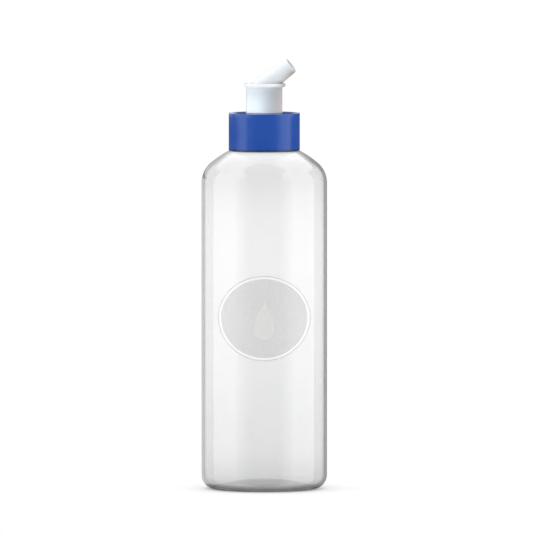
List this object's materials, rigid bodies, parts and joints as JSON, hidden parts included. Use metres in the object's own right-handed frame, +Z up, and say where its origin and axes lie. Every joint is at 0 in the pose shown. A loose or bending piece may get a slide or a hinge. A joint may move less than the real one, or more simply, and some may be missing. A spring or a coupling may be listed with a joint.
{
  "type": "sports squeeze bottle",
  "caption": "Clear plastic squeeze bottle with a blue screw collar and a white swivelling turret whose tapered drinking spout tilts up to open.",
  "frame": {"origin": "centre of the standing ring, on the table", "axes": "+Z up along the bottle's axis, +X the way the shut spout leans, the front print faces about -Y"},
  "size_m": [0.073, 0.073, 0.2508],
  "materials": {
    "clear_plastic": "clear, slightly milky blown plastic",
    "blue_plastic": "satin moulded blue",
    "white_plastic": "glossy moulded white",
    "gasket_rubber": "soft pale silicone",
    "seal_rubber": "soft black rubber"
  },
  "bodies": {
    "bottle": {"bottle_body": "clear_plastic"},
    "closure": {"spout_base": "white_plastic", "neck_gasket": "gasket_rubber", "swivel_o_ring": "seal_rubber"},
    "collar": {"screw_collar": "blue_plastic"},
    "turret": {"turret": "white_plastic", "ball_seal": "seal_rubber"},
    "spout": {"spout": "white_plastic"}
  },
  "joints": [
    {"name": "closure_rise", "type": "slide", "parent": "bottle", "child": "closure", "axis": [0, 0, 1], "range_m": [0, 0.0186]},
    {"name": "collar_turn", "type": "hinge", "parent": "closure", "child": "collar", "pos_m": [0, 0, 0.208], "axis": [0, 0, 1], "range_deg": [0, 1530]},
    {"name": "turret_swivel", "type": "hinge", "parent": "closure", "child": "turret", "pos_m": [0, 0, 0.2215], "axis": [0, 0, 1], "continuous": true},
    {"name": "spout_tilt", "type": "hinge", "parent": "turret", "child": "spout", "pos_m": [-0.0012, 0, 0.2341], "axis": [0, -1, 0], "range_deg": [0, 52.5]}
  ],
  "couplings": [
    {"joint": "closure_rise", "follows": "collar_turn", "m_per_rad": 0.00067323}
  ]
}
